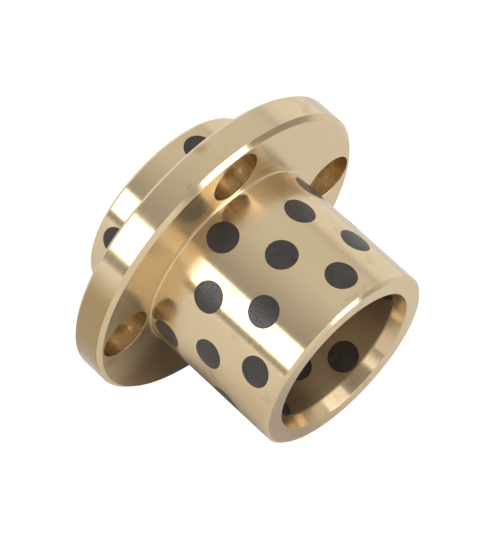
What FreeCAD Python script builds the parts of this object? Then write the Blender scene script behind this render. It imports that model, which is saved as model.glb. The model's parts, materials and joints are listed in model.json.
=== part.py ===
"""Centre-flange guide bush: a turned bronze body with solid-lubricant graphite plugs bonded into its wall.

Frame, in millimetres: +Z runs along the bore axis towards the mouth of the long sleeve. The origin is on the
bore axis, in the plane of the flange's seat face, which is the face that bolts down on a plate. The short
spigot hangs below z = 0 and locates in that plate. +X points at the first screw hole.

Pieces: one bronze body, which is the sleeve, flange and spigot turned from one blank, and every graphite plug
as a piece of its own. A plug goes right through the wall, so its ends are cut to the outside and to the bore.
"""

import FreeCAD, Part
import math
import os

# ---- driving dimensions -------------------------------------------------------------------------------------

# Body
bore_d = 50.0            # running bore
wall = 7.5               # wall of the sleeve and of the spigot
sleeve_len = 51.0        # flange front face to the mouth
flange_t = 11.5          # flange thickness
spigot_len = 16.0        # seat face to the spigot's end

# Turned edges
lead_in_angle = 15.0     # bore lead-in, half angle from the axis, in degrees
mouth_lead_in = 4.8      # depth of the lead-in at the mouth
spigot_lead_in = 2.5     # depth of the lead-in at the spigot's end
edge_break = 0.25        # bevel where the lead-in meets an end face
mouth_chamfer = 1.1      # radial width of the chamfer on the outside of the mouth
mouth_chamfer_depth = 1.0  # and its depth along the axis
spigot_chamfer = 1.0     # 45 degree chamfer on the outside of the spigot's end
flange_chamfer = 1.5     # 45 degree chamfer on the front rim of the flange
seat_chamfer = 1.2       # 45 degree chamfer on the seat rim of the flange
root_fillet = 0.8        # tool radius left in the two corners between tube and flange

# Screw seats in the flange
screw_count = 4
screw_hole_d = 11.0      # clearance hole for an M10 screw
head_bore_d = 17.5       # counterbore for the screw head
head_bore_depth = 6.5
head_bore_break = 0.12   # bevel on the mouth of the counterbore
head_land_inner = 1.25   # counterbore wall to the outside of the sleeve
head_land_outer = 2.25   # counterbore wall to the rim of the flange

# Graphite plugs
plug_d = 10.0
plug_glue_gap = 0.02     # radial gap between plug and hole, filled by the adhesive
plugs_per_row = 5
sleeve_rows = 5
mouth_margin = 10.0      # mouth to the middle of the first row
flange_margin = 7.4      # middle of the last row to the flange front face
plug_phase = 46.0        # first plug of the first row, in degrees from the first screw hole
row_turn_share = 0.6     # turn from one row to the next, as a share of the spacing in a row

# ---- sizes that follow --------------------------------------------------------------------------------------

bore_r = bore_d / 2
tube_r = bore_r + wall
screw_circle_r = tube_r + head_land_inner + head_bore_d / 2
flange_r = screw_circle_r + head_bore_d / 2 + head_land_outer

seat_z = 0.0
front_z = seat_z + flange_t
mouth_z = front_z + sleeve_len
end_z = seat_z - spigot_len

lead_in_slope = math.tan(math.radians(lead_in_angle))

plug_spacing = 360.0 / plugs_per_row
row_turn = row_turn_share * plug_spacing
row_pitch = (sleeve_len - mouth_margin - flange_margin) / (sleeve_rows - 1)
spigot_row_z = seat_z - spigot_len / 2

AXIS = FreeCAD.Vector(0, 0, 1)
ORIGIN = FreeCAD.Vector(0, 0, 0)


def point(radius, z):
    """A point of the turned outline, in the XZ plane."""
    return FreeCAD.Vector(radius, 0, z)


def lines(points):
    """Straight edges through a run of outline points."""
    return [Part.LineSegment(a, b).toShape() for a, b in zip(points, points[1:])]


def root_arc(face_z, tube_side):
    """Concave quarter arc in the corner between the tube and a flange face; tube_side is +1 above, -1 below."""
    centre = point(tube_r + root_fillet, face_z + tube_side * root_fillet)
    half = root_fillet * math.sqrt(0.5)
    on_tube = point(tube_r, face_z + tube_side * root_fillet)
    on_face = point(tube_r + root_fillet, face_z)
    middle = centre + FreeCAD.Vector(-half, 0, -tube_side * half)
    return on_tube, middle, on_face


def turned_blank():
    """The body before any drilling: the lathe outline turned once round the axis."""
    mouth_r = bore_r + mouth_lead_in * lead_in_slope
    spigot_mouth_r = bore_r + spigot_lead_in * lead_in_slope
    seat_tube, seat_mid, seat_face = root_arc(seat_z, -1)
    front_tube, front_mid, front_face = root_arc(front_z, 1)

    bore_side = [
        point(tube_r - mouth_chamfer, mouth_z),
        point(mouth_r + edge_break, mouth_z),
        point(mouth_r - edge_break * lead_in_slope, mouth_z - edge_break),
        point(bore_r, mouth_z - mouth_lead_in),
        point(bore_r, end_z + spigot_lead_in),
        point(spigot_mouth_r - edge_break * lead_in_slope, end_z + edge_break),
        point(spigot_mouth_r + edge_break, end_z),
        point(tube_r - spigot_chamfer, end_z),
        point(tube_r, end_z + spigot_chamfer),
        seat_tube,
    ]
    rim = [
        seat_face,
        point(flange_r - seat_chamfer, seat_z),
        point(flange_r, seat_z + seat_chamfer),
        point(flange_r, front_z - flange_chamfer),
        point(flange_r - flange_chamfer, front_z),
        front_face,
    ]
    sleeve_side = [
        front_tube,
        point(tube_r, mouth_z - mouth_chamfer_depth),
        point(tube_r - mouth_chamfer, mouth_z),
    ]
    edges = lines(bore_side)
    edges.append(Part.Arc(seat_tube, seat_mid, seat_face).toShape())
    edges += lines(rim)
    edges.append(Part.Arc(front_face, front_mid, front_tube).toShape())
    edges += lines(sleeve_side)
    return Part.Face(Part.Wire(edges)).revolve(ORIGIN, AXIS, 360)


def screw_seat(angle):
    """Cutting tool for one screw: clearance hole, counterbore and the bevel on its mouth."""
    overrun = 1.0
    floor_z = front_z - head_bore_depth
    hole = Part.makeCylinder(screw_hole_d / 2, flange_t + 2 * overrun, point(0, seat_z - overrun))
    head = Part.makeCylinder(head_bore_d / 2, head_bore_depth + overrun, point(0, floor_z))
    bevel = Part.makeCone(
        head_bore_d / 2, head_bore_d / 2 + head_bore_break, head_bore_break,
        point(0, front_z - head_bore_break),
    )
    tool = hole.fuse([head, bevel])
    tool.translate(point(screw_circle_r, 0))
    tool.rotate(ORIGIN, AXIS, angle)
    return tool


def radial_rod(radius, z, angle):
    """A rod on a radius of the body, from halfway to the bore wall to outside the tube."""
    overrun = 2.0
    start = bore_r / 2
    length = tube_r + overrun - start
    rod = Part.makeCylinder(radius, length, point(start, z), FreeCAD.Vector(1, 0, 0))
    rod.rotate(ORIGIN, AXIS, angle)
    return rod


def plug_places():
    """Every plug as (node name, z, angle): the sleeve's rows from the mouth down, then the spigot's row."""
    places = []
    for row in range(sleeve_rows):
        z = mouth_z - mouth_margin - row * row_pitch
        for n in range(plugs_per_row):
            angle = plug_phase + row * row_turn + n * plug_spacing
            places.append((f"sleeve_plug_row{row + 1}_{n + 1}", z, angle))
    for n in range(plugs_per_row):
        places.append((f"spigot_plug_{n + 1}", spigot_row_z, plug_phase + n * plug_spacing))
    return places


def bronze_body(blank):
    """The turned blank with its screw seats and plug holes."""
    seats = [screw_seat(n * 360.0 / screw_count) for n in range(screw_count)]
    holes = [radial_rod(plug_d / 2 + plug_glue_gap, z, angle) for _, z, angle in plug_places()]
    return blank.cut(seats + holes)


def graphite_plug(blank, z, angle):
    """One plug: the part of a rod that lies in the wall, so both ends follow the turned surfaces."""
    return radial_rod(plug_d / 2, z, angle).common(blank)


def save(shape, node):
    """Writes one node's solids as parts/NODE.step."""
    solids = shape.Solids
    assert len(solids) == 1 and solids[0].isValid(), node
    solids[0].exportStep(f"parts/{node}.step")


def main():
    os.makedirs("parts", exist_ok=True)
    blank = turned_blank()
    save(bronze_body(blank), "bronze_body")
    for node, z, angle in plug_places():
        save(graphite_plug(blank, z, angle), node)
    print("pieces:", 1 + len(plug_places()))
    print("flange diameter", 2 * flange_r, "screw circle", 2 * screw_circle_r, "row pitch", row_pitch)


main()
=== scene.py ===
# %% [markdown]
# # A bronze guide bush with graphite plugs
# The real part is one turned bronze blank: a long sleeve, a flange in the middle and a short spigot.
# Thirty graphite plugs are bonded into holes through its wall and machined flush. Nearly everything the
# eye reads on polished bronze is a reflection, so this lesson spends its effort on three things: a body
# whose normals are exact, a finish with the lathe's marks in it, and a studio that is worth reflecting.

# %% Load the fixed frame
import json
import math

import bpy
import numpy as np
from mathutils import Matrix, Vector


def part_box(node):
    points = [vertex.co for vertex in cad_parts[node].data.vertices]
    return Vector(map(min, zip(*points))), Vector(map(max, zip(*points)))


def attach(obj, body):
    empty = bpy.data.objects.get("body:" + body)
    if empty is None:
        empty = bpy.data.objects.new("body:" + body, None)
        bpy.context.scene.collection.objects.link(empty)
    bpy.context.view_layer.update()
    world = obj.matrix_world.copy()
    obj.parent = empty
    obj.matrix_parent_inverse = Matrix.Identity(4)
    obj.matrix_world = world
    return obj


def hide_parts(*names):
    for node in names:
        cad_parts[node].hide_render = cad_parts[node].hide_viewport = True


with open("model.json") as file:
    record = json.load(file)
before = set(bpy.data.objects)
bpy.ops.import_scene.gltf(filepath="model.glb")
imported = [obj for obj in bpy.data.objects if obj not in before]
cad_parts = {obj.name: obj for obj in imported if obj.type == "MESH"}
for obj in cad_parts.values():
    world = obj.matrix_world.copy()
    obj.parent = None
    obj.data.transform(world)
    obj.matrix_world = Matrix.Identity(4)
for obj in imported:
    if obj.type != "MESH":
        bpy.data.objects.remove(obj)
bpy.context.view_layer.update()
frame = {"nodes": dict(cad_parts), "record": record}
MM = 0.001

# %% [markdown]
# ## Sizes
# Overall sizes are read from the frame: the body's box gives its height and its rim, and the mounts give
# the bore, the spigot and the screws. The flange's two faces and the small turned edges are named here, in
# millimetres.

# %% Sizes from the frame
low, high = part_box("bronze_body")
END_Z = low.z / MM
MOUTH_Z = high.z / MM
RIM_R = round(high.x / MM, 1)
mounts = {m["name"]: m for m in frame["record"]["mounts"]}
BORE_R = mounts["bore"]["dims"]["r_mm"]
TUBE_R = mounts["spigot"]["dims"]["r_mm"]
SCREW_CIRCLE_R = mounts["flange_screws"]["dims"]["pcd_mm"] / 2
SCREW_HOLE_R = mounts["flange_screws"]["dims"]["hole_r_mm"]
SCREW_COUNT = mounts["flange_screws"]["dims"]["count"]
SEAT_Z = 0.0
FRONT_Z = 11.5
print("length", MOUTH_Z - END_Z, "rim", RIM_R, "tube", TUBE_R, "bore", BORE_R)

# %% Turned edges
MOUTH_LEAD_IN = 4.8
SPIGOT_LEAD_IN = 2.5
LEAD_IN_SLOPE = math.tan(math.radians(15))
EDGE_BREAK = 0.25
MOUTH_CHAMFER = 1.1
MOUTH_CHAMFER_DEPTH = 1.0
SPIGOT_CHAMFER = 1.0
RIM_CHAMFER = 1.5
SEAT_CHAMFER = 1.2
ROOT_FILLET = 0.8
WORN_EDGE = 0.14
CRISP_EDGE = 0.08

# %% [markdown]
# ## The section of the turned body
# A lathe makes one outline and spins it. A real corner is never perfectly sharp: a polished corner is a
# tiny arc, and that arc is what catches a thread of light along every edge. So each corner of the outline
# carries a radius. The arc's own normals are kept beside its points, because a mirror shows every error
# in a normal.


# %% Rounded outline
def rounded_outline(corners, steps=6):
    """Points and outward normals of a closed outline with rounded corners.

    Each corner is (radius from the axis, z, corner radius). For a turn of angle t and a corner radius q,
    the arc starts q * tan(t / 2) before the corner and its centre lies q to the inner side of both runs.
    """
    spots = np.array([c[:2] for c in corners], float)
    radii = np.array([c[2] for c in corners], float)
    before = spots - np.roll(spots, 1, axis=0)
    before /= np.linalg.norm(before, axis=1)[:, None]
    after = np.roll(before, -1, axis=0)
    turn = np.arctan2(
        before[:, 0] * after[:, 1] - before[:, 1] * after[:, 0], (before * after).sum(1)
    )
    side = np.sign(turn)
    inner = np.stack([-before[:, 1], before[:, 0]], 1) * side[:, None]
    start = spots - before * (radii * np.tan(np.abs(turn) / 2))[:, None]
    centre = start + inner * radii[:, None]
    share = np.linspace(0, 1, steps)[None, :]
    heading = np.arctan2(before[:, 1], before[:, 0])[:, None] + turn[:, None] * share
    normals = np.stack([np.sin(heading), -np.cos(heading)], 2)
    points = centre[:, None] + normals * (side * radii)[:, None, None]
    return points.reshape(-1, 2), normals.reshape(-1, 2)


mouth_r = BORE_R + MOUTH_LEAD_IN * LEAD_IN_SLOPE
end_r = BORE_R + SPIGOT_LEAD_IN * LEAD_IN_SLOPE
body_outline, body_normals = rounded_outline([
    (end_r + EDGE_BREAK, END_Z, CRISP_EDGE),
    (TUBE_R - SPIGOT_CHAMFER, END_Z, WORN_EDGE),
    (TUBE_R, END_Z + SPIGOT_CHAMFER, WORN_EDGE),
    (TUBE_R, SEAT_Z, ROOT_FILLET),
    (RIM_R - SEAT_CHAMFER, SEAT_Z, WORN_EDGE),
    (RIM_R, SEAT_Z + SEAT_CHAMFER, WORN_EDGE),
    (RIM_R, FRONT_Z - RIM_CHAMFER, WORN_EDGE),
    (RIM_R - RIM_CHAMFER, FRONT_Z, WORN_EDGE),
    (TUBE_R, FRONT_Z, ROOT_FILLET),
    (TUBE_R, MOUTH_Z - MOUTH_CHAMFER_DEPTH, WORN_EDGE),
    (TUBE_R - MOUTH_CHAMFER, MOUTH_Z, WORN_EDGE),
    (mouth_r + EDGE_BREAK, MOUTH_Z, CRISP_EDGE),
    (mouth_r - EDGE_BREAK * LEAD_IN_SLOPE, MOUTH_Z - EDGE_BREAK, CRISP_EDGE),
    (BORE_R, MOUTH_Z - MOUTH_LEAD_IN, WORN_EDGE),
    (BORE_R, END_Z + SPIGOT_LEAD_IN, WORN_EDGE),
    (end_r - EDGE_BREAK * LEAD_IN_SLOPE, END_Z + EDGE_BREAK, CRISP_EDGE),
])
print("outline points", len(body_outline))

# %% [markdown]
# ## Spinning an outline
# A turned solid is a function of two parameters: the place along the outline and the angle round the
# axis. Both run over a grid, and the grid closes on itself both ways, so the mesh is watertight with no
# seam and no pole.


# %% Spin and mesh helpers
def spin(outline, segments):
    """Grid of a closed outline turned once: x = r cos a, y = r sin a, z = z. Returns points and quads."""
    angle = np.linspace(0, 2 * np.pi, segments, endpoint=False)
    r, z = outline[:, 0][None, :], outline[:, 1][None, :]
    points = np.stack(
        [r * np.cos(angle)[:, None], r * np.sin(angle)[:, None], z + 0 * angle[:, None]], 2
    )
    a, p = np.meshgrid(np.arange(segments), np.arange(len(outline)), indexing="ij")
    b, q = (a + 1) % segments, (p + 1) % len(outline)
    n = len(outline)
    quads = np.stack([a * n + p, b * n + p, b * n + q, a * n + q], 2)
    return points.reshape(-1, 3), quads.reshape(-1, 4).tolist()


def mesh_object(name, points, faces):
    """A new object from points in millimetres and faces given as lists of point numbers."""
    mesh = bpy.data.meshes.new(name)
    mesh.from_pydata((points * MM).tolist(), [], faces)
    mesh.validate()
    piece = bpy.data.objects.new(name, mesh)
    bpy.context.scene.collection.objects.link(piece)
    return piece


BODY_SEGMENTS = 384
body_points, body_quads = spin(body_outline, BODY_SEGMENTS)
bronze = mesh_object("bronze_bush", body_points, body_quads)
print("turned body", len(body_points), "points")

# %% [markdown]
# ## Drilling
# The plug holes and the screw seats are cut with a Boolean, as a drill would cut them. The cutters are
# closed solids made from numbers too. Where each plug goes isn't typed in: the middle of each plug's own
# box gives its height and its angle, so the holes follow the frame, and a hole is a hair wider than its
# plug for the glue.

# %% Plug axes read from the frame
GLUE_GAP = 0.02
plug_nodes = sorted(n for n in frame["nodes"] if "plug" in n)
plug_corners = np.array([[list(c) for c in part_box(n)] for n in plug_nodes]) / MM
plug_middle = plug_corners.mean(1)
plug_z = plug_middle[:, 2]
plug_angle = np.arctan2(plug_middle[:, 1], plug_middle[:, 0])
plug_out = np.stack([np.cos(plug_angle), np.sin(plug_angle), 0 * plug_angle], 1)
PLUG_R = float(np.median(plug_corners[:, 1, 2] - plug_corners[:, 0, 2])) / 2
HOLE_R = PLUG_R + GLUE_GAP
print("plugs", len(plug_nodes), "radius", round(PLUG_R, 3))

# %% Screw seats
HEAD_BORE_R = 8.75
HEAD_BORE_DEPTH = 6.5
HEAD_BEVEL = 0.12
screw_turn = np.arange(SCREW_COUNT) * 2 * np.pi / SCREW_COUNT
screw_axis = SCREW_CIRCLE_R * np.stack([np.cos(screw_turn), np.sin(screw_turn), 0 * screw_turn], 1)
print("screws", SCREW_COUNT, "on a circle of radius", SCREW_CIRCLE_R)


# %% Cutter from stacked rings
def stacked_rings(radii, heights, segments):
    """A capped solid of stacked rings: ring k is radii[k] * (cos a, sin a) at heights[k]."""
    angle = np.linspace(0, 2 * np.pi, segments, endpoint=False)
    circle = np.stack([np.cos(angle), np.sin(angle)], 1)
    rings = np.asarray(radii, float)[:, None, None] * circle[None]
    rise = np.broadcast_to(np.asarray(heights, float)[:, None, None], rings.shape[:2] + (1,))
    points = np.concatenate([rings, rise], 2).reshape(-1, 3)
    k, a = np.meshgrid(np.arange(len(radii) - 1), np.arange(segments), indexing="ij")
    b = (a + 1) % segments
    n = segments
    sides = np.stack([k * n + a, k * n + b, (k + 1) * n + b, (k + 1) * n + a], 2)
    low_cap = np.arange(segments)[::-1].tolist()
    high_cap = ((len(radii) - 1) * n + np.arange(segments)).tolist()
    return points, sides.reshape(-1, 4).tolist() + [low_cap, high_cap]


OVERRUN = 2.0
BEVEL_RUN = 1.0
seat_floor = FRONT_Z - HEAD_BORE_DEPTH
rod_points, rod_faces = stacked_rings([HOLE_R] * 2, [BORE_R / 2, TUBE_R + OVERRUN], 96)
seat_points, seat_faces = stacked_rings(
    [SCREW_HOLE_R, SCREW_HOLE_R, HEAD_BORE_R, HEAD_BORE_R, HEAD_BORE_R + HEAD_BEVEL + BEVEL_RUN],
    [SEAT_Z - OVERRUN, seat_floor, seat_floor, FRONT_Z - HEAD_BEVEL, FRONT_Z + BEVEL_RUN],
    128,
)


# %% Every cutter in place, as one mesh
def placed_copies(points, faces, frames, origins):
    """Copies of a solid: point -> origin + x * frame[0] + y * frame[1] + z * frame[2], for each origin."""
    moved = np.einsum("pc,kcd->kpd", points, frames) + origins[:, None, :]
    shift = len(points)
    copies = [[i + n * shift for i in face] for n in range(len(origins)) for face in faces]
    return moved.reshape(-1, 3), copies


up = np.broadcast_to([0.0, 0.0, 1.0], plug_out.shape)
rod_frames = np.stack([np.cross(up, plug_out), up, plug_out], 1)
rod_origins = np.stack([0 * plug_z, 0 * plug_z, plug_z], 1)
rods, rods_faces = placed_copies(rod_points, rod_faces, rod_frames, rod_origins)
seat_frames = np.broadcast_to(np.eye(3), (SCREW_COUNT, 3, 3))
seats, seats_faces = placed_copies(seat_points, seat_faces, seat_frames, screw_axis)
offset = len(rods)
cutter = mesh_object(
    "cutters",
    np.concatenate([rods, seats]),
    rods_faces + [[i + offset for i in face] for face in seats_faces],
)
print("cutters", len(rod_origins) + SCREW_COUNT)

# %% Cut, and keep the result as a plain mesh
holes = bronze.modifiers.new("holes", "BOOLEAN")
holes.operation = "DIFFERENCE"
holes.solver = "MANIFOLD"
holes.object = cutter
depsgraph = bpy.context.evaluated_depsgraph_get()
drilled = bpy.data.meshes.new_from_object(bronze.evaluated_get(depsgraph))
bronze.modifiers.clear()
bronze.data = drilled
bpy.data.objects.remove(cutter)
print("drilled body", len(drilled.vertices), "points", len(drilled.polygons), "faces")

# %% [markdown]
# ## Exact normals
# A mesh is flat facets, and smoothing guesses the normals between them. Beside a drilled hole that guess
# is poor, and on polished bronze it shows as kinks in the reflections. But every surface here is known: a
# turned face has the outline's normal, and a drilled wall points at its own axis. So each face corner
# gets its normal from the surface it lies on, and no guess is left.


# %% Normals of the turned surface
def turned_normals(points):
    """Outline normal at the nearest place on the outline, turned to each point's angle round the axis."""
    r = np.hypot(points[:, 0], points[:, 1])
    place = np.stack([r, points[:, 2]], 1)
    start, end = body_outline, np.roll(body_outline, -1, axis=0)
    run = end - start
    length2 = (run**2).sum(1)
    share = np.einsum("psd,sd->ps", place[:, None] - start[None], run) / length2
    share = np.clip(share, 0, 1)
    gap = np.linalg.norm(start[None] + share[..., None] * run[None] - place[:, None], axis=2)
    best = gap.argmin(1)
    t = share[np.arange(len(place)), best][:, None]
    flat = body_normals[best] * (1 - t) + np.roll(body_normals, -1, axis=0)[best] * t
    flat /= np.linalg.norm(flat, axis=1)[:, None]
    return np.stack([flat[:, 0] * points[:, 0] / r, flat[:, 0] * points[:, 1] / r, flat[:, 1]], 1)


# %% Normals of drilled walls
def towards_axis(points, origin, axis):
    """Unit vector from each point straight to its axis, and how far away the axis is."""
    rel = points - origin
    off = rel - (rel * axis).sum(-1, keepdims=True) * axis
    distance = np.linalg.norm(off, axis=-1)
    return -off / distance[..., None], distance


def nearest_axis(centres, origins, axes):
    """Number and distance of each face centre's nearest axis. An axis starts at its origin."""
    distance = np.stack([towards_axis(centres, o, a)[1] for o, a in zip(origins, axes)], 1)
    ahead = np.stack([(centres - o) @ a for o, a in zip(origins, axes)], 1) > 0
    distance = np.where(ahead, distance, np.inf)
    return distance.argmin(1), distance.min(1)


def body_corner_normals(mesh):
    """Normal of every face corner: the outline's, or for a drilled wall the direction to its own axis."""
    verts = np.zeros(len(mesh.vertices) * 3)
    mesh.vertices.foreach_get("co", verts)
    verts = verts.reshape(-1, 3) / MM
    corner_vert = np.zeros(len(mesh.loops), int)
    mesh.loops.foreach_get("vertex_index", corner_vert)
    sizes = np.zeros(len(mesh.polygons), int)
    mesh.polygons.foreach_get("loop_total", sizes)
    corner_face = np.repeat(np.arange(len(sizes)), sizes)
    face_normal = np.zeros(len(sizes) * 3)
    mesh.polygons.foreach_get("normal", face_normal)
    face_normal = face_normal.reshape(-1, 3)
    centres = np.zeros((len(sizes), 3))
    np.add.at(centres, corner_face, verts[corner_vert])
    centres /= sizes[:, None]

    turned = turned_normals(verts)
    normals = turned[corner_vert]

    hole, hole_far = nearest_axis(centres, rod_origins, plug_out)
    along = (face_normal * plug_out[hole]).sum(1)
    in_hole = (np.abs(hole_far - HOLE_R) < 0.02) & (np.abs(along) < 0.2)
    pick = in_hole[corner_face]
    owner = hole[corner_face[pick]]
    normals[pick] = towards_axis(verts[corner_vert[pick]], rod_origins[owner], plug_out[owner])[0]

    vertical = np.array([0.0, 0.0, 1.0])
    screw, screw_far = nearest_axis(centres, screw_axis, [vertical] * SCREW_COUNT)
    in_seat = (screw_far < HEAD_BORE_R + HEAD_BEVEL) & (
        (np.abs(face_normal[:, 2]) < 0.9) | (np.abs(centres[:, 2] - seat_floor) < 0.01)
    )
    pick = in_seat[corner_face]
    owner = screw[corner_face[pick]]
    inward = towards_axis(verts[corner_vert[pick]], screw_axis[owner], vertical)[0]
    lift = face_normal[corner_face[pick]][:, 2:3]
    normals[pick] = inward * np.sqrt(1 - lift**2) + vertical * lift
    agree = (normals * face_normal[corner_face]).sum(1)
    return normals, agree, in_hole | in_seat


# %% Give the body its normals
drilled.polygons.foreach_set("use_smooth", [True] * len(drilled.polygons))
corner_normals, agree, drilled_face = body_corner_normals(drilled)
drilled.normals_split_custom_set(corner_normals.tolist())
mark = drilled.attributes.new("drilled", "FLOAT", "FACE")
mark.data.foreach_set("value", drilled_face.astype(np.float32))
print("corners", len(corner_normals), "worst agreement with the facets", round(float(agree.min()), 4))
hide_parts("bronze_body")
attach(bronze, "root")

# %% [markdown]
# ## Shader maths as plain expressions
# A material is a small program. Written as bare nodes it is hard to read, so one class wraps an output
# socket and lets Python's own operators add the Math nodes. Any other node comes from its one other
# method.


# %% Sockets with operators
class Wire:
    """An output socket. Arithmetic on it adds Math nodes; node() adds any other node to its tree."""

    def __init__(self, tree, socket=None):
        self.tree, self.socket = tree, socket

    def node(self, kind, settings=None, sockets=None, out=0):
        """Adds a node: its settings first, then its sockets. Gives back output number out."""
        made = self.tree.nodes.new(kind)
        for name, value in (settings or {}).items():
            setattr(made, name, value)
        for key, value in (sockets or {}).items():
            if isinstance(value, Wire):
                self.tree.links.new(value.socket, made.inputs[key])
            else:
                made.inputs[key].default_value = value
        return Wire(self.tree, made.outputs[out] if len(made.outputs) else None)

    def math(self, operation, *values):
        """One Math node on these values."""
        return self.node("ShaderNodeMath", {"operation": operation}, dict(enumerate(values)))

    def __add__(self, other):
        return self.math("ADD", self, other)

    def __sub__(self, other):
        return self.math("SUBTRACT", self, other)

    def __rsub__(self, other):
        return self.math("SUBTRACT", other, self)

    def __mul__(self, other):
        return self.math("MULTIPLY", self, other)

    def __truediv__(self, other):
        return self.math("DIVIDE", self, other)

    __radd__, __rmul__ = __add__, __mul__

    def smooth(self, low, high):
        """0 below low, 1 above high, and an S curve between."""
        settings = {"interpolation_type": "SMOOTHSTEP"}
        return self.node(
            "ShaderNodeMapRange", settings, {"Value": self, "From Min": low, "From Max": high}
        )

    def noise(self, scale, detail=2.0, roughness=0.5, dimensions="3D"):
        """Noise on this vector, or on this number where dimensions is 1D, from 0 to 1."""
        key = "W" if dimensions == "1D" else "Vector"
        sockets = {key: self, "Scale": scale, "Detail": detail, "Roughness": roughness}
        return self.node("ShaderNodeTexNoise", {"noise_dimensions": dimensions}, sockets)

    def blend(self, first, second):
        """A colour between two colours, by this mask."""
        return self.node("ShaderNodeMix", {"data_type": "RGBA"}, {0: self, 6: first, 7: second}, out=2)


def new_material(name, viewport):
    """An empty node material and its Principled shader. viewport is its plain colour in a viewport."""
    made = bpy.data.materials.new(name)
    made.use_nodes = True
    made.node_tree.nodes.clear()
    made.diffuse_color = (*viewport, 1)
    out = made.node_tree.nodes.new("ShaderNodeOutputMaterial")
    shader = made.node_tree.nodes.new("ShaderNodeBsdfPrincipled")
    made.node_tree.links.new(shader.outputs[0], out.inputs["Surface"])
    return made, shader, Wire(made.node_tree)


def feed(shader, values):
    """Sets constants on the shader's own sockets, and links what changes over the surface."""
    for key, value in values.items():
        if isinstance(value, Wire):
            value.tree.links.new(value.socket, shader.inputs[key])
        else:
            shader.inputs[key].default_value = value


# %% [markdown]
# ## Turned bronze
# Bushing bronze is a warm yellow metal with a faint pink in it. Finished on a lathe and wiped clean, it
# is a mirror crossed by the tool's marks: rings round the axis, so their pattern depends only on the
# place along the outline. A noise of one number draws them, and a bump turns them into light. Clouds of a
# few millimetres are thin brown stains, which darken the colour and dull the gloss together.
#
# Three wider patches each darken part of a turn: on the flange's rim, on its front face, and on the
# mouth's end face. The one on the front face is painted shade. The one on the mouth's end face is a
# painted reflection of dark things in a room that this studio doesn't hold. The one on the rim only
# darkens that side of the rim.

# %% Bronze colours
BRONZE = (0.845, 0.668, 0.420)
STAIN = (0.60, 0.43, 0.22, 1)
MOTTLE = (0.81, 0.62, 0.37, 1)
# A darker colour for one side of the rim, painted shade for the front face, and a painted dark reflection
# for the mouth's end face.
RIM_DARKENING = (0.48, 0.335, 0.165, 1)
FRONT_PAINTED_SHADE = (0.48, 0.32, 0.17, 1)
LIP_PAINTED_REFLECTION = (0.58, 0.45, 0.32, 1)
# Painted shade for the drilled faces: the walls and floors of the screw seats.
DRILLED_PAINTED_SHADE = (0.52, 0.37, 0.19, 1)
# A graphite film together with painted shade for the inside of the bore.
BORE_GRAPHITE_AND_SHADE = (0.45, 0.35, 0.24, 1)
metal, metal_shader, m = new_material("turned_bronze", BRONZE)
print("bronze", BRONZE)

# %% Places on the body
place = m.node("ShaderNodeTexCoord", out=3)
xyz = place.node("ShaderNodeSeparateXYZ", sockets={0: place})
across = Wire(m.tree, xyz.socket.node.outputs[1])
height = Wire(m.tree, xyz.socket.node.outputs[2])
radius = m.math("SQRT", xyz * xyz + across * across)
along_outline = (height + radius * 0.6) / MM

bored = 1 - radius.smooth((BORE_R + 0.04) * MM, (BORE_R + 0.15) * MM)
rim = radius.smooth((RIM_R - 0.3) * MM, (RIM_R - 0.1) * MM)
lip = height.smooth((MOUTH_Z - 0.3) * MM, (MOUTH_Z - 0.1) * MM)
near_front = height.smooth((FRONT_Z - 0.3) * MM, (FRONT_Z - 0.1) * MM)
past_front = height.smooth((FRONT_Z + 0.1) * MM, (FRONT_Z + 0.3) * MM)
faced = radius.smooth(TUBE_R * MM, (TUBE_R + 1) * MM) * near_front * (1 - past_front)
milled = m.node("ShaderNodeAttribute", {"attribute_name": "drilled"}, out=2)


def round_at(angle, whole, none):
    """A mask round the axis: 1 within whole degrees of this angle, and 0 beyond none degrees."""
    turn = math.radians(angle)
    cosine = (xyz * math.cos(turn) + across * math.sin(turn)) / radius
    return cosine.smooth(math.cos(math.radians(none)), math.cos(math.radians(whole)))


print("places", len(m.tree.nodes), "nodes")

# %% Marks, colour and gloss
fine_marks = along_outline.noise(3.2, 3, 0.7, "1D")
bands = along_outline.noise(0.8, 3, 0.6, "1D")
waver = place.noise(45, 2)
clouds = place.noise(70, 4, 0.6)
specks = place.noise(900, 3, 0.6)
stain = clouds.smooth(0.58, 0.76)

stained = stain.blend((*BRONZE, 1), STAIN)
mottled = (waver.smooth(0.35, 0.7) * 0.35).blend(stained, MOTTLE)
# A darker rim on one side, painted shade on the front face and a painted dark reflection on the mouth's
# end face, each at a fixed angle round the axis.
with_rim_darkening = (rim * round_at(-7, 13, 27)).blend(mottled, RIM_DARKENING)
with_front_painted_shade = (faced * round_at(61, 14, 40)).blend(with_rim_darkening, FRONT_PAINTED_SHADE)
with_lip_painted_reflection = (lip * round_at(20, 20, 78)).blend(with_front_painted_shade, LIP_PAINTED_REFLECTION)
# Painted shade darkens the drilled faces, the recesses of the screw seats.
with_drilled_painted_shade = (milled * 0.5).blend(with_lip_painted_reflection, DRILLED_PAINTED_SHADE)
turned_marks = fine_marks * 0.35 + bands * 0.8 + waver * 3.0
relief = turned_marks * (1 - bored * 0.85) + specks * milled * 3.0
dulled = stain * 0.08 + bored * 0.14 + faced * 0.06 + milled * (0.04 + specks * 0.08)
feed(metal_shader, {
    "Metallic": 0.94,
    "Anisotropic": 0.75,
    "Anisotropic Rotation": 0.25,
    # Inside the bore, a graphite film and painted shade darken the colour.
    "Base Color": (bored * 0.6).blend(with_drilled_painted_shade, BORE_GRAPHITE_AND_SHADE),
    "Roughness": 0.10 + bands * 0.14 + dulled,
    "Normal": m.node("ShaderNodeBump", sockets={"Strength": 1.0, "Distance": 8e-6, "Height": relief}),
})
bronze.data.materials.clear()
bronze.data.materials.append(metal)
print("bronze nodes", len(m.tree.nodes))

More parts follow.
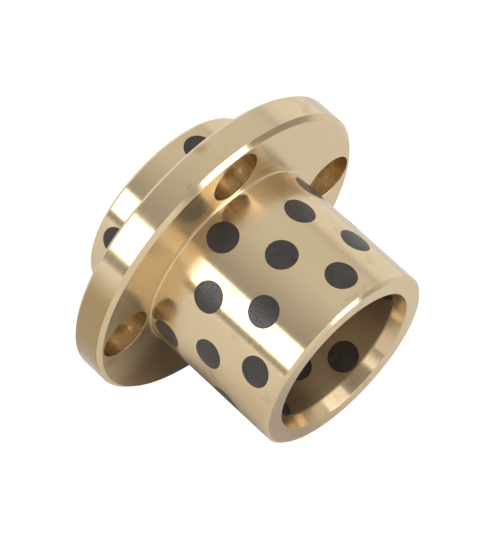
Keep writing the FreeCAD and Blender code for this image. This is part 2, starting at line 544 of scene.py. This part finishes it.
# %% [markdown]
# ## Pressed graphite
# The plugs are graphite with a little binder, pressed, bonded in and turned flush with the bronze.
# Graphite is dark grey, never black, with a dull lead-pencil sheen and fine grains and pores. The plugs
# keep their CAD meshes, which are already cut to the turned surfaces, and only take this finish.

# %% Graphite material
DENSE = (0.030, 0.023, 0.018, 1)
DUSTY = (0.052, 0.041, 0.034, 1)
GRAIN = (0.095, 0.084, 0.076, 1)
PORE = (0.012, 0.011, 0.010, 1)
graphite, graphite_shader, g = new_material("pressed_graphite", (0.06, 0.055, 0.05))
spot = g.node("ShaderNodeTexCoord", out=3)
grain = spot.noise(2400, 3, 0.7)
patches = spot.noise(220, 3, 0.6)
pores = spot.node("ShaderNodeTexVoronoi", sockets={"Vector": spot, "Scale": 1100.0})
pore = 1 - pores.smooth(0.12, 0.3)
dusty = patches.smooth(0.3, 0.7).blend(DENSE, DUSTY)
grainy = (grain.smooth(0.45, 0.75) * 0.5).blend(dusty, GRAIN)
rise = grain * 0.6 - pore * 1.5 + patches * 0.5
feed(graphite_shader, {
    "Base Color": (pore * 0.7).blend(grainy, PORE),
    "Roughness": 0.18 + patches * 0.16 + grain * 0.08,
    "IOR": 1.56,
    "Normal": g.node("ShaderNodeBump", sockets={"Strength": 1.0, "Distance": 5e-5, "Height": rise}),
})
for name in plug_nodes:
    frame["nodes"][name].data.materials.clear()
    frame["nodes"][name].data.materials.append(graphite)
print("plugs finished", len(plug_nodes))

# %% [markdown]
# ## Camera
# A long lens, a little above the mouth end and rolled, so that the bush lies on its side across the
# frame.

# %% Camera
CAMERA_AT = Vector((0.441485, -0.904781, 0.401056))
BACK = Vector((0.40834, -0.84094, 0.35506)).normalized()
ROLL = math.radians(-132.40)
Z_UP = Vector((0, 0, 1))
level_up = (Z_UP - BACK * Z_UP.dot(BACK)).normalized()
level_right = level_up.cross(BACK)
view_up = level_up * math.cos(ROLL) + level_right * math.sin(ROLL)
view_right = view_up.cross(BACK)
lens = bpy.data.cameras.new("camera")
lens.sensor_width = 36
lens.lens = 231.467
lens.clip_start, lens.clip_end = 0.05, 100
camera = bpy.data.objects.new("camera", lens)
axes = Matrix((view_right, view_up, BACK)).transposed().to_4x4()
camera.matrix_world = Matrix.Translation(CAMERA_AT) @ axes
bpy.context.scene.collection.objects.link(camera)
bpy.context.scene.camera = camera
bpy.context.scene.view_settings.view_transform = "Standard"
print("camera", [round(c, 3) for c in CAMERA_AT])

# %% [markdown]
# ## Studio
# Polished metal shows the room. The bush is lit as if it lay on a white bench on its flange rim and its
# mouth lip: a softbox on each side of the camera, a weaker panel above, a narrow card low in front, a pale
# ceiling that fades to grey at the sides, a bright backdrop beyond, and the bench itself, which lights the
# lower half from underneath.

# %% Bench directions
BENCH_UP = Vector((-0.28837, -0.88030, -0.37606)).normalized()
BENCH_RIGHT = Vector((-0.72111, -0.05868, 0.69033)).normalized()
BENCH_AWAY = BENCH_UP.cross(BENCH_RIGHT)


def studio_direction(right, away, rise):
    """Direction in the bench's own axes, as a unit vector of the frame."""
    return (BENCH_RIGHT * right + BENCH_AWAY * away + BENCH_UP * rise).normalized()


def facing(piece_at, direction):
    """Placement of an object at piece_at whose own +Z points along direction."""
    turn = direction.to_track_quat("Z", "Y").to_matrix().to_4x4()
    return Matrix.Translation(piece_at) @ turn


# %% Softboxes
PANEL_FAR = 1.5
middle = Vector((0, 0, 0.03))
panels = {
    "softbox_left": ((-0.803, -0.499, 0.318), 0.70, 0.64, 3.1),
    "softbox_right": ((0.82, -0.52, 0.22), 0.70, 0.85, 3.6),
    "ceiling_panel": ((0.52, -0.42, 0.74), 0.95, 0.70, 0.8),
    "front_card": ((-0.28, -0.95, 0.12), 0.40, 0.75, 1.05),
}


def light_panel(name, direction, width, tall, radiance):
    """A flat panel in that bench direction. Power is radiance * pi * area, so size keeps brightness."""
    panel = bpy.data.lights.new(name, "AREA")
    panel.shape, panel.size, panel.size_y = "RECTANGLE", width, tall
    panel.energy = radiance * math.pi * width * tall
    light = bpy.data.objects.new(name, panel)
    towards = studio_direction(*direction)
    side = BENCH_UP.cross(towards).normalized()
    turn = Matrix((side, towards.cross(side), towards)).transposed().to_4x4()
    light.matrix_world = Matrix.Translation(middle + towards * PANEL_FAR) @ turn
    light.visible_camera = False
    bpy.context.scene.collection.objects.link(light)


for name, (direction, width, tall, radiance) in panels.items():
    light_panel(name, direction, width, tall, radiance)
print("panels", len(panels))

# %% Ceiling, sides and backdrop as one gradient
world = bpy.data.worlds.new("studio")
world.use_nodes = True
bpy.context.scene.world = world
world.node_tree.nodes.clear()
w = Wire(world.node_tree)
look = w.node("ShaderNodeTexCoord", out=0)


def share_along(direction):
    """How much the looked-at direction points along another: their dot product."""
    sockets = {0: look, 1: tuple(direction)}
    return w.node("ShaderNodeVectorMath", {"operation": "DOT_PRODUCT"}, sockets, out=1)


SIDE_LIGHT = 0.36
CEILING_LIGHT = 0.84
BACKDROP_LIGHT = 1.06
rising = share_along(BENCH_UP)
receding = share_along(BENCH_AWAY)
ceiling = rising.smooth(0.25, 0.85) * receding.smooth(-0.75, -0.05)
base = SIDE_LIGHT + (CEILING_LIGHT - SIDE_LIGHT) * ceiling
seam = receding.smooth(0.57, 0.60) - receding.smooth(0.60, 0.63)
backdrop = receding.smooth(0.60, 0.68)
light_level = base + backdrop * (BACKDROP_LIGHT - base) - seam * 0.2
glow = w.node("ShaderNodeBackground", sockets={"Strength": light_level})
w.node("ShaderNodeOutputWorld", sockets={0: glow})
print("world nodes", len(w.tree.nodes))

# %% [markdown]
# ## Floor, bench and dome
# The camera sees a plain white floor just under the bush and a white dome behind it. The bench is another
# disc, tilted to touch the lowest points of the lying bush, and only reflections and soft light meet it.
# It carries a painted shadow under the flange, where a real bench lies in the bush's own shadow.


# %% Stage helpers
def glowing(name, colour, emission):
    """A matt white stage material that also glows a little."""
    made, shader, wire = new_material(name, colour)
    feed(shader, {
        "Base Color": (*colour, 1),
        "Roughness": 1.0,
        "Specular IOR Level": 0.0,
        "Emission Color": (1, 1, 1, 1),
        "Emission Strength": emission,
    })
    return made, shader, wire


def stage_disc(name, radius_m, matrix, material):
    """A flat disc: one ring of points radius * (cos a, sin a, 0)."""
    angle = np.linspace(0, 2 * np.pi, 96, endpoint=False)
    ring = radius_m / MM * np.stack([np.cos(angle), np.sin(angle), 0 * angle], 1)
    disc = mesh_object(name, ring, [list(range(96))])
    disc.data.transform(matrix)
    disc.data.materials.append(material)
    return disc


def seen_by(piece, camera_sees, diffuse, glossy, shadow):
    """Which rays meet a stage piece."""
    piece.visible_camera, piece.visible_shadow = camera_sees, shadow
    piece.visible_diffuse, piece.visible_glossy = diffuse, glossy
    piece.visible_transmission = False


# %% Floor
FLOOR_R = 6.0
FLOOR_DROP = 0.2
floor_at = Matrix.Translation((0, 0, (END_Z - FLOOR_DROP) * MM))
floor = stage_disc("floor", FLOOR_R, floor_at, glowing("pale_floor", (0.3,) * 3, 0.95)[0])
seen_by(floor, True, False, False, False)
print("floor at", END_Z - FLOOR_DROP, "mm")

# %% Bench
BENCH_R = 1.6
# Where the bench's painted shadow sits, and how far it reaches.
SHADE_RIGHT = 0.010
SHADE_NEARER = 0.005
SHADE_REACH = 0.045
body_co = np.array([v.co for v in bronze.data.vertices])
bench_drop = float((body_co @ np.array(BENCH_UP)).min())
painted_shadow_centre = BENCH_UP * bench_drop + BENCH_RIGHT * SHADE_RIGHT - BENCH_AWAY * SHADE_NEARER
bench_with_painted_shadow, bench_shader, b = glowing("bench_with_painted_shadow", (0.9,) * 3, 0.10)
spot_to_here = b.node("ShaderNodeVectorMath", {"operation": "DISTANCE"}, {
    0: b.node("ShaderNodeTexCoord", out=3), 1: tuple(painted_shadow_centre)
}, out=1)
# The painted shadow: dark and without glow near that spot, plain white beyond.
outside_painted_shadow = spot_to_here.smooth(-0.01, SHADE_REACH)
feed(bench_shader, {
    "Base Color": outside_painted_shadow.blend((0.12, 0.11, 0.10, 1), (0.92, 0.92, 0.92, 1)),
    "Emission Color": outside_painted_shadow.blend((0, 0, 0, 1), (1, 1, 1, 1)),
})
bench = stage_disc("bench", BENCH_R, facing(BENCH_UP * bench_drop, BENCH_UP), bench_with_painted_shadow)
seen_by(bench, False, True, True, False)
print("bench touches at", round(bench_drop / MM, 2), "mm")

# %% Dome
DOME_R = 8.0
dome_angle = np.linspace(-np.pi / 2, np.pi / 2, 25)
dome_points, dome_faces = stacked_rings(
    DOME_R / MM * np.cos(dome_angle[1:-1]), DOME_R / MM * np.sin(dome_angle[1:-1]), 64
)
dome = mesh_object("dome", dome_points, dome_faces)
dome.data.materials.append(glowing("pale_dome", (0, 0, 0), 1.0)[0])
seen_by(dome, True, False, False, False)
print("dome radius", DOME_R, "m")
